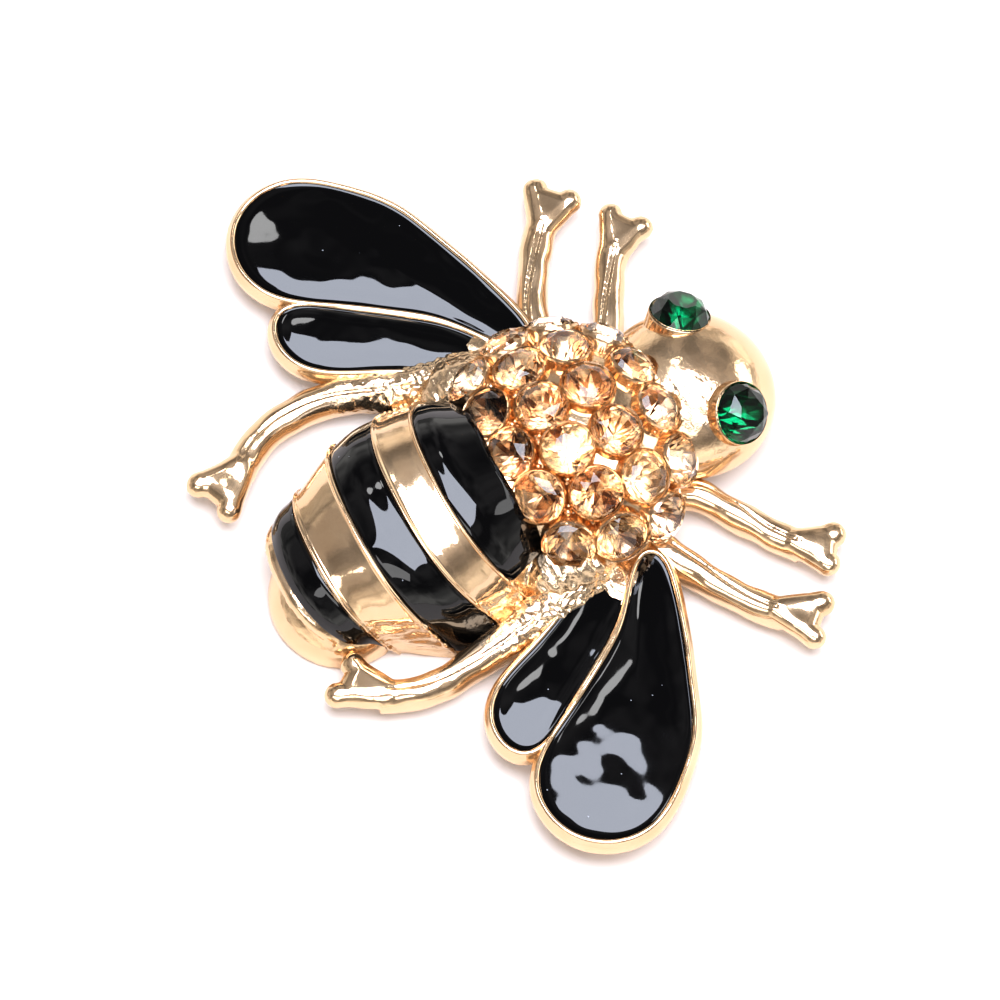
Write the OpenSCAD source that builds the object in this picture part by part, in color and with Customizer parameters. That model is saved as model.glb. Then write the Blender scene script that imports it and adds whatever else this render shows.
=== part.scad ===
// Bee brooch: a plated casting with enamel fills, cut stones in cups and a pin behind.
// It lies on its back on z = 0, with its head towards +Y and its wings along X.

/* [Thorax] */
// Place of the thorax centre along the body
thorax_y = 3.3; // [3.1:0.1:3.5]
// Length of the thorax dome
thorax_len = 11.9; // [11.8:0.1:12.3]
// Width of the thorax dome
thorax_w = 13.2; // [13.1:0.1:13.6]
// Height of the thorax dome's top above the back plane
thorax_top = 6.95; // [6.9:0.05:7.3]
// Height of the dome's springing line, where its side turns upright
thorax_base = 2.6; // [2.2:0.1:2.8]
// Metal between the thorax dome and the hollow behind it
thorax_wall = 2; // [1.8:0.1:2.3]

/* [Head] */
// Width of the head
head_w = 9.7; // [9:0.1:10.4]
// Length of the head
head_len = 9.4; // [9:0.1:10]
// Height of the head's top above the back plane
head_top = 5.7; // [5.2:0.1:6.2]
// Height of the head's widest line
head_mid = 2.2; // [1.8:0.1:2.6]
// How far the head reaches into the thorax
neck_lap = 3.6; // [3.2:0.1:4]
// Distance between the eyes
eye_spread = 6.5; // [6.2:0.1:6.8]
// Outward tilt of an eye
eye_tilt = 35; // [25:1:45]
// Turn of an eye towards the front
eye_turn = 38; // [20:1:50]

/* [Abdomen] */
// Length of the abdomen from the thorax centre to its rear ridge
abdomen_len = 13.6; // [13:0.1:14.4]
// Width of the abdomen at its widest band
abdomen_w = 13.2; // [12.8:0.1:14]
// Height of the abdomen's top above the back plane
abdomen_top = 7; // [6.6:0.1:7.6]
// Lean of the bands towards the tail for each millimetre of height
band_lean = 0.53; // [0.45:0.01:0.6]
// Slant of the bands across the body, in degrees
band_slant = 4; // [0:0.5:6]
// Flare of the abdomen's side where it meets the back plane
base_flare = 0.7; // [0.4:0.05:0.8]
// Wall of the hollow abdomen under the enamel
shell_wall = 0.9; // [0.8:0.05:1.2]
// Width of the round tail tip
tail_w = 7.8; // [7.4:0.1:8.4]
// How far the tail tip stands to the right of the middle
tail_shift = 1.1; // [0.8:0.1:1.3]
// Length that the tail tip is rounded over
tail_len = 3.6; // [3.4:0.1:3.8]
// Height of the tail tip
tail_top = 3; // [2.6:0.1:3.3]

/* [Enamel] */
// Depth of the enamel on the abdomen
band_enamel_t = 0.5; // [0.4:0.05:0.6]
// Depth of the enamel in the wings
wing_enamel_t = 0.5; // [0.4:0.05:0.6]
// Gap between an enamel fill and its metal
enamel_gap = 0.05; // [0.03:0.01:0.08]
// Height of the thin ridge at each edge of a gold band
ridge_h = 0.12; // [0.08:0.01:0.16]
// Width of that ridge
ridge_w = 0.32; // [0.25:0.01:0.4]

/* [Wings] */
// Reach of the forewing's enamel from the middle of the body
wing_reach = 20.9; // [20:0.1:22]
// Height of the wing's rim above the back plane
wing_top = 2.3; // [2.1:0.05:2.6]
// Thickness of the wing plate
wing_t = 1.05; // [0.95:0.05:1.2]
// Width of the wing's rim
rim_w = 0.55; // [0.45:0.01:0.65]
// Width of the rim between forewing and hindwing
divider_w = 0.45; // [0.4:0.01:0.6]
// Forward turn of the left wing pair, in degrees
left_wing_turn = 4.5; // [0:0.5:6]
// Extra reach of the left forewing
left_wing_extra = 0.4; // [0:0.1:0.6]

/* [Legs] */
// Width of a leg across its top
leg_w = 1.25; // [1.1:0.05:1.4]
// Height of a leg's top above the back plane
leg_top = 1.9; // [1.7:0.05:2.1]
// Thickness of a leg
leg_t = 1.4; // [1.2:0.05:1.6]
// Thickness of a foot at the ends of its prongs
foot_t = 0.85; // [0.7:0.05:1]
// Length of a front leg from its root to its fork
front_leg_len = 7.9; // [7.5:0.1:8.3]
// Length of a middle leg from its root to its fork
middle_leg_len = 8.9; // [8.5:0.1:9.3]
// Length of the right rear leg from its root to its fork
right_rear_leg_len = 13.4; // [13:0.1:13.8]
// Length of the left rear leg from its root to its fork
left_rear_leg_len = 15; // [14.6:0.1:15.4]
// Length of a front foot's prong
front_prong_len = 1.7; // [1.5:0.05:1.9]
// Length of a middle foot's prong
middle_prong_len = 1.95; // [1.8:0.05:2.1]
// Length of a rear foot's prong
rear_prong_len = 2.2; // [2:0.05:2.4]

/* [Stones] */
// Diameter of a thorax stone
stone_d = 2.6; // [2.4:0.05:2.6]
// Diameter of an eye stone
eye_d = 3.15; // [3:0.05:3.3]
// Gap between a stone and its seat
seat_gap = 0.05; // [0.04:0.01:0.06]
// Wall of a thorax stone's cup
cup_wall = 0.23; // [0.18:0.01:0.26]
// Wall of an eye's cup
eye_cup_wall = 0.28; // [0.24:0.01:0.32]

/* [Pin] */
// Diameter of the pin stem
pin_d = 0.8; // [0.7:0.05:0.9]
// Length of the pin between its two posts
pin_len = 13; // [12.4:0.1:13.4]
// Height of the pin stem's axis above the back plane
pin_z = 0.8; // [0.6:0.05:0.9]
// Distance of the pin from the middle of the body
pin_x = -2.4; // [-2.6:0.1:-2.2]
// Diameter of the round plate at each end of the pin
plate_d = 2.2; // [2:0.1:2.4]
// Thickness of that plate
plate_t = 0.5; // [0.4:0.05:0.6]

/* [Hidden] */
gold = [0.82, 0.66, 0.47];
enamel = [0.05, 0.05, 0.06];
champagne = [0.85, 0.65, 0.4];
emerald = [0.04, 0.45, 0.32];

// Stone proportions as shares of the diameter
table_share = 0.58;
crown_share = 0.2;
girdle_share = 0.06;
pavilion_share = 0.42;
culet_share = 0.1;
table_sides = 8;
stone_sides = 16;
// How far a stone's girdle stands above the metal, and its cup above the girdle
girdle_lift = 0.22;
cup_lip = 0.1;
cup_root = girdle_lift + 0.6;

// Rows of thorax stones from the abdomen to the head: latitude on the dome, longitude of
// the row's middle, step between stones, count, and how far the row bends forward at the
// sides. The steps grow away from the middle by stone_spread.
ROW_LAT = 0;
ROW_MIDDLE = 1;
ROW_STEP = 2;
ROW_COUNT = 3;
ROW_BEND = 4;
stone_rows = [
    [-38.3, 4.4, 28.6, 5, 10.2],
    [-12, 4.4, 23.6, 6, 8.3],
    [13.7, 5.8, 25.3, 6, 7.4],
    [46.9, 1.4, 33.5, 4, -5.4],
];
stone_spread = 0.118;
spread_angle = 60;
stone_places = [for (row = stone_rows) for (i = [0:row[ROW_COUNT] - 1])
    let (
        away = (i - (row[ROW_COUNT] - 1) / 2) * row[ROW_STEP],
        lon = row[ROW_MIDDLE] + away * (1 + stone_spread * pow(away / spread_angle, 2))
    )
    [row[ROW_LAT] + row[ROW_BEND] * pow(sin(lon), 2), lon]];

// Half sizes and centre of the thorax dome and of the head
dome_half = [thorax_w / 2, thorax_len / 2, thorax_top - thorax_base];
dome_centre = [0, thorax_y, thorax_base];
head_half = [head_w / 2, head_len / 2, head_top - head_mid];
head_centre = [0, thorax_y + thorax_len / 2 + head_len / 2 - neck_lap, head_mid];
dome_levels = 6;
dome_sides = 32;
hollow_sides = 20;

// Abdomen sections from the waist to the rear ridge: place as a share of the length behind
// the thorax centre, width share, height share, lean as a share of band_lean, and flare as
// a share of base_flare
SEC_Y = 0;
SEC_W = 1;
SEC_H = 2;
SEC_LEAN = 3;
SEC_FLARE = 4;
sections = [
    [0.06, 0.68, 0.86, 0.9, 0],
    [0.22, 0.84, 0.99, 0.95, 0],
    [0.32, 0.94, 1, 1, 0.4],
    [0.482, 1, 0.95, 1.1, 1],
    [0.70, 0.95, 0.89, 1, 1],
    [0.93, 0.74, 0.7, 1.04, 0.2],
    [0.993, 0.68, 0.515, 1.78, 0],
    [1.03, 0.65, 0.43, 2.07, 0],
];
waist = 0;
enamel_one = [0.4, 2];
enamel_two = [3, 4];
enamel_three = [5, 6];
rear_ridge = 7;
// Power of the superellipse that gives the abdomen its steep sides
section_power = 2.4;
// Angle above the back plane that the flare starts at
flare_angle = 24;
// Angles round a section: each enamel ends at one of the two stops near the base
low_stop = 3;
high_stop = 24;
stop_step = 1;
half_angles = [0, low_stop, low_stop + stop_step, 9, 16, high_stop, high_stop + stop_step,
    35, 45, 55, 65, 75, 85];
ring_angles = concat(half_angles, [for (i = [len(half_angles) - 1:-1:0]) 180 - half_angles[i]]);

// Wing outlines as circles along the wing: place outwards and forwards of the thorax centre,
// and radius, all as shares of the wing's reach
forewing = [
    [0.358, 0.036, 0.032],
    [0.546, -0.061, 0.073],
    [0.749, -0.232, 0.15],
    [0.835, -0.355, 0.165],
];
hindwing = [
    [0.384, -0.077, 0.064],
    [0.503, -0.25, 0.091],
    [0.601, -0.404, 0.125],
];
wing_pivot = [3.2, -6.7];
outline_sides = 36;
// Radius of the plate that joins the wing roots to the thorax
wing_root_r = 2;

// Legs: side, root outwards and forwards of the thorax centre, swell at the root, heading of
// the fork, half angle between its prongs, and the headings of the leg's equal steps
LEG_SIDE = 0;
LEG_ROOT = 1;
LEG_SWELL = 2;
LEG_FORK = 3;
LEG_SPREAD = 4;
LEG_HEADINGS = 5;
legs = [
    [1, [4.1, 3.6], 0.1, 53, 31, [59, 33, 30, 32, 37]],
    [-1, [4.1, 3.6], 0.1, 53, 31, [59, 33, 30, 32, 37]],
    [1, [5.6, 1.1], 0.2, 49, 30, [29, 23, 29, 34, 39]],
    [-1, [5.6, 1.1], 0.2, 49, 30, [29, 23, 29, 34, 39]],
    [1, [6.3, -2.2], 0.9, -143, 26, [-67, -78, -83, -78, -81, -85, -98, -114]],
    [-1, [6.2, -1.7], 0.9, -110, 30, [-65, -72, -69, -66, -73, -86, -97, -112, -127]],
];
leg_lengths = [front_leg_len, front_leg_len, middle_leg_len, middle_leg_len,
    right_rear_leg_len, left_rear_leg_len];
prong_lengths = [front_prong_len, front_prong_len, middle_prong_len, middle_prong_len,
    rear_prong_len, rear_prong_len];
leg_bevel = 0.25;
prong_tip_d = 0.95;
ankle_share = 0.96;
foot_rise = 0.05;
round_sides = 10;

// Pin posts and the bosses that they are soldered to
post_d = 1.3;
boss_gap = 0.05;
pin_gap = 0.1;
boss_z = pin_z + post_d / 2 + plate_t + boss_gap;
boss_d = plate_d + 0.4;
pin_overhang = 0.9;
pin_middle = -0.6;
pin_sides = 16;
past = 1;

function mix(a, b, t) = a * (1 - t) + b * t;
function unit(v) = v / norm(v);
function forewing_reach(side) = wing_reach + (side < 0 ? left_wing_extra : 0);

// A smooth value between rows of a table, through each row at its whole index
function smooth_row(rows, i) =
    let (
        last = len(rows) - 1,
        k = min(floor(i), last - 1),
        t = i - k,
        a = rows[max(k - 1, 0)],
        b = rows[k],
        c = rows[k + 1],
        d = rows[min(k + 2, last)]
    )
    b + t / 2 * (c - a + t * (2 * a - 5 * b + 4 * c - d + t * (3 * (b - c) + d - a)));

// A point on the abdomen at a section index and an angle, raised by a relief
function abdomen_point(i, a, relief) =
    let (
        s = smooth_row(sections, i),
        w = s[SEC_W] * abdomen_w / 2 + relief,
        h = s[SEC_H] * abdomen_top + relief,
        up = min(a, 180 - a) / flare_angle,
        flare = up < 1 ? s[SEC_FLARE] * base_flare * pow(1 - up, 2) : 0,
        x = sign(cos(a)) * (flare + w * pow(abs(cos(a)), 2 / section_power)),
        z = h * pow(abs(sin(a)), 2 / section_power)
    )
    [x, thorax_y - s[SEC_Y] * abdomen_len - s[SEC_LEAN] * band_lean * z - x * tan(band_slant), z];

// Share of an index step that covers a length along the body
function index_step(i, length) =
    length / (abdomen_len * (sections[floor(i) + 1][SEC_Y] - sections[floor(i)][SEC_Y]));

// Place on the dome of a stone's girdle, and the way that the stone faces
function dome_way(place) =
    let (lat = place[0], lon = place[1])
    [sin(lon) * cos(lat), sin(lat), cos(lon) * cos(lat)];
function dome_normal(place) =
    let (u = dome_way(place)) unit([for (k = [0:2]) u[k] / dome_half[k]]);
function dome_point(place, lift) =
    let (u = dome_way(place))
    dome_centre + [for (k = [0:2]) u[k] * dome_half[k]] + lift * dome_normal(place);

eye_way = [sin(eye_tilt) * cos(eye_turn), sin(eye_tilt) * sin(eye_turn), cos(eye_tilt)];
eye_out = eye_spread / 2;
eye_y = 1.3;
eye_point = head_centre + [eye_out, eye_y,
    head_half[2] * sqrt(1 - pow(eye_out / head_half[0], 2) - pow(eye_y / head_half[1], 2))]
    + girdle_lift * eye_way;

// Points along a leg, one for each heading, and the heading at each point
function walk(headings, step, k) =
    k == 0 ? [0, 0] : walk(headings, step, k - 1) + step * [cos(headings[k - 1]), sin(headings[k - 1])];
function heading_at(headings, k) =
    let (last = len(headings) - 1)
    (headings[max(k - 1, 0)] + headings[min(k, last)]) / 2;

// A solid through rings of points that each turn the same way round. The ends of a thin
// curved shell are closed by a strip between its outer and inner points.
module loft(rings, shell = false) {
    n = len(rings[0]);
    last = len(rings) - 1;
    sides = [for (j = [0:last - 1]) for (k = [0:n - 1])
        [j * n + k, (j + 1) * n + k, (j + 1) * n + (k + 1) % n, j * n + (k + 1) % n]];
    front = shell ? [for (k = [0:n / 2 - 2]) [k, k + 1, n - 2 - k, n - 1 - k]] : [[for (k = [0:n - 1]) k]];
    back = [for (face = front) [for (k = [len(face) - 1:-1:0]) last * n + face[k]]];
    polyhedron([for (ring = rings) for (p = ring) p], concat(sides, front, back));
}

// Turns a shape's +Z to a way and moves it to a point
module facing(point, way) {
    translate(point) rotate([0, acos(way[2]), atan2(way[1], way[0])]) children();
}

// A round cut stone with its girdle at z = 0 and its table up
module cut_stone(d) {
    hull() {
        translate([0, 0, (girdle_share + crown_share) * d - 0.02])
            rotate(180 / table_sides) cylinder(d = table_share * d, h = 0.02, $fn = table_sides);
        cylinder(d = d, h = girdle_share * d, $fn = stone_sides);
        translate([0, 0, -pavilion_share * d])
            cylinder(d = culet_share * d, h = 0.02, $fn = table_sides);
    }
}

// The space that a stone takes in its cup, open above
module stone_seat(d) {
    wide = d + 2 * seat_gap;
    deep = pavilion_share * d + seat_gap;
    profile = [[culet_share * d + 3 * seat_gap, -deep], [wide, 0], [wide, crown_share * d + cup_lip]];
    loft([for (p = profile) [for (a = [0:360 / stone_sides:359])
        [p[0] / 2 * cos(a), p[0] / 2 * sin(a), p[1]]]]);
}

// The cup round a stone, from inside the metal to just above the girdle
module stone_cup(d, wall, root) {
    translate([0, 0, -root])
        cylinder(d = d + 2 * (seat_gap + wall), h = root + girdle_share * d + cup_lip, $fn = stone_sides);
}

// A dome on upright sides, from a height up to its top
module dome(centre, half, from, sides = dome_sides) {
    loft([for (k = [-1:dome_levels])
        let (up = 90 * max(k, 0) / dome_levels, shrink = max(cos(up), 0.04))
        [for (a = [0:360 / sides:359])
            [centre[0] + half[0] * shrink * cos(a), centre[1] + half[1] * shrink * sin(a),
             k < 0 ? from : centre[2] + half[2] * sin(up)]]]);
}

// A round form that curves in above and below its widest height
module egg(centre, half, under) {
    loft([for (k = [-3:dome_levels])
        let (up = 90 * (k < 0 ? k / 4 : k / dome_levels), shrink = max(cos(up), 0.04))
        [for (a = [0:360 / dome_sides:359])
            [centre[0] + half[0] * shrink * cos(a), centre[1] + half[1] * shrink * sin(a),
             centre[2] + (k < 0 ? under : half[2]) * sin(up)]]]);
}

// Stations are [section index, relief between the stops, relief below them, stop angle]
module abdomen_loft(stations, foot = 0) {
    under = foot > 0 ? [0, 180] : [];
    loft([for (st = stations) concat(
        [for (a = under) if (a == 0) abdomen_point(st[0], a, st[2]) - [0, 0, foot]],
        [for (a = ring_angles)
            abdomen_point(st[0], a, min(a, 180 - a) > st[3] ? st[1] : st[2])],
        [for (a = under) if (a > 0) abdomen_point(st[0], a, st[2]) - [0, 0, foot]])]);
}

// Stations over one gold band, with a ridge at each edge
function gold_stations(from, to) =
    let (a = index_step(from, ridge_w), b = index_step(to - 0.5, ridge_w))
    [[from, ridge_h], [from + a, ridge_h], [from + 1.3 * a, 0],
     [(from + to) / 2, 0],
     [to - 1.3 * b, 0], [to - b, ridge_h], [to, ridge_h]];

module abdomen_metal() {
    d = -band_enamel_t;
    abdomen_loft([for (st = concat(
        [[waist, 0, 0], [enamel_one[0], 0, 0]],
        [for (i = [enamel_one[0], mix(enamel_one[0], enamel_one[1], 0.5), enamel_one[1]]) [i, d, high_stop]],
        [for (g = gold_stations(enamel_one[1], enamel_two[0])) [g[0], g[1], high_stop]],
        [for (i = [enamel_two[0], mix(enamel_two[0], enamel_two[1], 0.5), enamel_two[1]]) [i, d, low_stop]],
        [for (g = gold_stations(enamel_two[1], enamel_three[0])) [g[0], g[1], high_stop]],
        [for (i = [enamel_three[0], mix(enamel_three[0], enamel_three[1], 0.5), enamel_three[1]])
            [i, d, low_stop]],
        [[enamel_three[1], 0, 0], [rear_ridge, 0, 0]]))
        [st[0], st[1], 0, st[2]]]);
}

// The hollow behind the abdomen, open downwards
module abdomen_hollow() {
    d = -(band_enamel_t + shell_wall);
    abdomen_loft([for (i = [waist + 0.2:0.6:enamel_three[0] - 0.1]) [i, d, d, 0]], past);
}

// The space over an enamel band that other metal keeps clear of
module band_clearance(span) {
    abdomen_loft([for (i = [-0.05, 0.1, 0.5, 0.9, 1.05])
        [mix(span[0], span[1], i), 2 * enamel_gap, 2 * enamel_gap, 0]], past);
}

// One enamel band: a thin shell between two relief levels, clear of the metal all round
module abdomen_enamel(span, stop) {
    shares = [for (i = span) smooth_row(sections, i)[SEC_Y]];
    edge = enamel_gap * (span[1] - span[0]) / (abdomen_len * (shares[1] - shares[0]));
    top = 0;
    floor_relief = enamel_gap - band_enamel_t;
    angles = [for (a = ring_angles) if (min(a, 180 - a) > stop) a];
    trimmed = [for (k = [0:len(angles) - 1])
        k == 0 ? angles[0] + stop_step : k == len(angles) - 1 ? angles[k] - stop_step : angles[k]];
    color(enamel) loft([for (i = [span[0] + edge, mix(span[0], span[1], 0.5), span[1] - edge])
        concat(
            [for (a = trimmed) abdomen_point(i, a, top)],
            [for (k = [len(trimmed) - 1:-1:0]) abdomen_point(i, trimmed[k], floor_relief)])], true);
}

// The front band, which ends against the thorax and its stone cups
module front_enamel() {
    grow = enamel_gap * [1, 1, 1];
    color(enamel) difference() {
        abdomen_enamel(enamel_one, high_stop);
        dome(dome_centre, dome_half + grow, 0);
        stones_at() translate([0, 0, -cup_root - enamel_gap])
            cylinder(d = stone_d + 2 * (seat_gap + cup_wall + enamel_gap), h = cup_root + stone_d,
                $fn = stone_sides);
    }
}

module tail() {
    back = abdomen_point(rear_ridge, 0, 0)[1];
    intersection() {
        translate([tail_shift, back, 0]) scale([tail_w / 2, tail_len, tail_top])
            sphere(r = 1, $fn = 24);
        translate([-tail_w, back - 2 * tail_len, 0]) cube([2 * tail_w, 4 * tail_len, tail_top]);
    }
}

// A wing's outline through its circles
module wing_chain(circles, grow, reach = wing_reach) {
    at = [0, thorax_y];
    for (k = [0:len(circles) - 2]) hull() for (c = [circles[k], circles[k + 1]])
        translate(at + reach * [c[0], c[1]]) circle(r = reach * c[2] + grow, $fn = outline_sides);
}

module forewing_area(side, grow = 0) {
    wing_chain(forewing, grow, forewing_reach(side));
}

module hindwing_area(side, grow = 0) {
    difference() {
        wing_chain(hindwing, grow);
        wing_chain(forewing, divider_w - grow, forewing_reach(side));
    }
}

// Places a wing shape on one side: 1 is right and -1 is left
module on_side(side) {
    turn = side < 0 ? left_wing_turn : 0;
    at = wing_pivot + [0, thorax_y];
    mirror([side < 0 ? 1 : 0, 0, 0]) translate(at) rotate(turn) translate(-at) children();
}

module wing_plate(side) {
    on_side(side) translate([0, 0, wing_top - wing_t]) linear_extrude(wing_t) union() {
        forewing_area(side, rim_w);
        wing_chain(hindwing, rim_w);
        hull() {
            translate([dome_half[0] - wing_root_r, thorax_y])
                circle(r = wing_root_r, $fn = outline_sides);
            for (c = [forewing[0], hindwing[0]]) translate([0, thorax_y] + wing_reach * [c[0], c[1]])
                circle(r = wing_reach * c[2] + rim_w, $fn = outline_sides);
        }
    }
}

// The space that a wing's enamel is poured into, up to a height over the rim. It is cut
// out of every part of the casting that reaches into it.
module wing_pockets(over) {
    for (side = [-1, 1]) on_side(side)
        translate([0, 0, wing_top - wing_enamel_t]) linear_extrude(wing_enamel_t + over) {
            forewing_area(side);
            hindwing_area(side);
        }
}

module wing_fill(side) {
    color(enamel) on_side(side)
        translate([0, 0, wing_top - wing_enamel_t + enamel_gap])
        linear_extrude(wing_enamel_t - 2 * enamel_gap) children();
}

// A bar's ring at a point, heading a way, with its top edges bevelled
function leg_ring(p, heading, w, top) =
    let (side = [-sin(heading), cos(heading)], low = leg_top - leg_t)
    [for (c = [[-w / 2, low], [w / 2, low], [w / 2, top - leg_bevel], [w / 2 - leg_bevel, top],
               [leg_bevel - w / 2, top], [-w / 2, top - leg_bevel]])
        [p[0] + side[0] * c[0], p[1] + side[1] * c[0], c[1]]];

// A fishtail foot with two prongs, each at an angle to the fork's heading
module foot(heading, spread, length) {
    translate([0, 0, leg_top + foot_rise - foot_t]) linear_extrude(foot_t) for (s = [-1, 1])
        hull() {
            circle(d = ankle_share * leg_w, $fn = round_sides);
            translate(length * [cos(heading + s * spread), sin(heading + s * spread)])
                circle(d = prong_tip_d, $fn = round_sides);
        }
    translate([0, 0, leg_top - leg_t + foot_rise])
        cylinder(d = 0.92 * ankle_share * leg_w, h = leg_t - 0.5 * foot_t, $fn = round_sides);
}

module leg(row, length, prong_length) {
    headings = row[LEG_HEADINGS];
    count = len(headings);
    root = row[LEG_ROOT] + [0, thorax_y];
    ankle = root + walk(headings, length / count, count);
    mirror([row[LEG_SIDE] < 0 ? 1 : 0, 0, 0]) {
        loft([for (k = [0:count])
            let (swell = row[LEG_SWELL] * pow(1 - k / count, 2))
            leg_ring(root + walk(headings, length / count, k), heading_at(headings, k),
                leg_w * (1 + swell), leg_top + 1.3 * swell)]);
        translate(ankle) foot(row[LEG_FORK], row[LEG_SPREAD], prong_length);
    }
}

// Room for the pin's stem, posts and plates behind the body
module pin_room() {
    translate([pin_x, pin_middle, -past]) linear_extrude(boss_z + past)
        hull() for (s = [-1, 1]) translate([0, s * pin_len / 2])
            circle(d = plate_d + 2 * pin_gap, $fn = pin_sides);
}

module pin_boss(side, top) {
    translate([pin_x, pin_middle + side * pin_len / 2, boss_z])
        cylinder(d = boss_d, h = top - boss_z, $fn = pin_sides);
}

module eyes_at() {
    for (s = [-1, 1]) facing([s * eye_point[0], eye_point[1], eye_point[2]],
        [s * eye_way[0], eye_way[1], eye_way[2]]) children();
}

module stones_at() {
    for (place = stone_places) facing(dome_point(place, girdle_lift), dome_normal(place)) children();
}

module casting() {
    hollow_half = dome_half - [thorax_wall, thorax_wall, thorax_wall];
    color(gold) difference() {
        union() {
            difference() {
                union() {
                    dome(dome_centre, dome_half, 0);
                    abdomen_metal();
                    difference() {
                        tail();
                        band_clearance(enamel_three);
                    }
                    egg(head_centre, head_half, head_mid - 0.2);
                    difference() {
                        union() {
                            for (side = [-1, 1]) wing_plate(side);
                            for (k = [0:len(legs) - 1]) leg(legs[k], leg_lengths[k], prong_lengths[k]);
                        }
                        wing_pockets(past);
                        band_clearance(enamel_two);
                    }
                }
                wing_pockets(enamel_gap);
                dome(dome_centre, hollow_half, -past, hollow_sides);
                abdomen_hollow();
                pin_room();
            }
            stones_at() stone_cup(stone_d, cup_wall, cup_root);
            eyes_at() stone_cup(eye_d, eye_cup_wall, girdle_lift + 1.2);
            pin_boss(1, thorax_top - thorax_wall);
            pin_boss(-1, 0.9 * abdomen_top - band_enamel_t - shell_wall + 0.2);
        }
        stones_at() stone_seat(stone_d);
        eyes_at() stone_seat(eye_d);
    }
}

module thorax_stone(index) {
    place = stone_places[index];
    color(champagne) facing(dome_point(place, girdle_lift), dome_normal(place)) cut_stone(stone_d);
}

module eye(side) {
    color(emerald) facing([side * eye_point[0], eye_point[1], eye_point[2]],
        [side * eye_way[0], eye_way[1], eye_way[2]]) cut_stone(eye_d);
}

// Stem with a post and a round plate at each end
module pin() {
    color("silver") translate([pin_x, pin_middle, 0]) {
        translate([0, pin_len / 2 + pin_overhang, pin_z]) rotate([90, 0, 0])
            cylinder(d = pin_d, h = pin_len + 2 * pin_overhang, $fn = pin_sides);
        for (s = [-1, 1]) translate([0, s * pin_len / 2, pin_z - post_d / 2]) {
            cylinder(d = post_d, h = post_d, $fn = pin_sides);
            translate([0, 0, post_d]) cylinder(d = plate_d, h = plate_t, $fn = pin_sides);
        }
    }
}

casting();
wing_fill(1) forewing_area(1, -enamel_gap);  // forewing_enamel_right
wing_fill(-1) forewing_area(-1, -enamel_gap);  // forewing_enamel_left
wing_fill(1) hindwing_area(1, -enamel_gap);  // hindwing_enamel_right
wing_fill(-1) hindwing_area(-1, -enamel_gap);  // hindwing_enamel_left
front_enamel();  // abdomen_enamel_front
abdomen_enamel(enamel_two, low_stop);  // abdomen_enamel_middle
abdomen_enamel(enamel_three, low_stop);  // abdomen_enamel_rear
eye(1);  // eye_right
eye(-1);  // eye_left
pin();
for (i = [0:len(stone_places) - 1])
    thorax_stone(i);
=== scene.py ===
import math
import random

import bmesh
import bpy
from mathutils import Matrix, Vector, noise


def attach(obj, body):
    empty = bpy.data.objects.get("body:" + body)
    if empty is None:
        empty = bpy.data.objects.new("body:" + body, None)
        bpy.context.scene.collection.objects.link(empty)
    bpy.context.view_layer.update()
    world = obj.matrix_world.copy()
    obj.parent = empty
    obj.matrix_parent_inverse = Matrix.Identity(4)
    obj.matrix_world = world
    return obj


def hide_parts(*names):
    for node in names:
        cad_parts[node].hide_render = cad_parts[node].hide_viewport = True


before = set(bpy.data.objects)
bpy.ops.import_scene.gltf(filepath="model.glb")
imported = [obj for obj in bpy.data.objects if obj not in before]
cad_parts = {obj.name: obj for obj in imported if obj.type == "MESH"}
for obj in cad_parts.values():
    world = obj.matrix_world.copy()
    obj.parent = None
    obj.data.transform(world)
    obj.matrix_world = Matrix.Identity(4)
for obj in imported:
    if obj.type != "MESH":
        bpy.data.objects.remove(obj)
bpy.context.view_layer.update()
mm = 0.001
noise.seed_set(7)                              # the vector noise is then the same each run
print("frame loaded")


# Small helpers: colours, nodes, meshes

def linearColor(hexText):
    channels = [int(hexText[i:i + 2], 16) / 255 for i in (1, 3, 5)]
    return [c / 12.92 if c <= 0.04045 else ((c + 0.055) / 1.055) ** 2.4 for c in channels] + [1.0]


def addNode(tree, kind, settings=None, links=None):
    made = tree.nodes.new(kind)
    for key, value in (settings or {}).items():
        if isinstance(key, int) or key in made.inputs:
            made.inputs[key].default_value = value
        else:
            setattr(made, key, value)
    for key, source in (links or {}).items():
        tree.links.new(source, made.inputs[key])
    return made


def newMaterial(name, settings):
    # The material, its tree and shader, and the place on the object that its patterns follow
    made = bpy.data.materials.new(name)
    made.use_nodes = True
    tree = made.node_tree
    shader = tree.nodes["Principled BSDF"]
    for key, value in settings.items():
        shader.inputs[key].default_value = value
    return made, tree, shader, addNode(tree, "ShaderNodeTexCoord").outputs["Object"]


def spaced(width, detail):
    # Settings for a noise whose features are about this many millimetres across
    return {"Scale": 1 / (width * mm), "Detail": detail}


def twoTone(first, second):
    # Settings for a mix from one colour to another
    return {"data_type": "RGBA", 6: linearColor(first), 7: linearColor(second)}


def lofted(rings, capped=True):
    # A grid bent through rings of points in millimetres, closed round each ring
    around, last = len(rings[0]), len(rings) - 1
    bm = bmesh.new()
    bmesh.ops.create_grid(bm, x_segments=around, y_segments=last, size=1)
    for v in bm.verts:
        column = round((v.co.x + 1) / 2 * around) % around
        row = round((v.co.y + 1) / 2 * last)
        v.co = Vector(rings[row][column]) * mm
    bmesh.ops.remove_doubles(bm, verts=bm.verts, dist=1e-7)
    if capped:
        bmesh.ops.holes_fill(bm, edges=bm.edges, sides=0)
    bmesh.ops.recalc_face_normals(bm, faces=bm.faces)
    return bm


def lathed(profile, steps):
    # A closed profile of radius and height, turned round Z
    turns = [2 * math.pi * k / steps for k in range(steps)]
    return lofted([[(r * math.cos(a), r * math.sin(a), z) for a in turns] for r, z in profile + profile[:1]],
                  capped=False)


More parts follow.
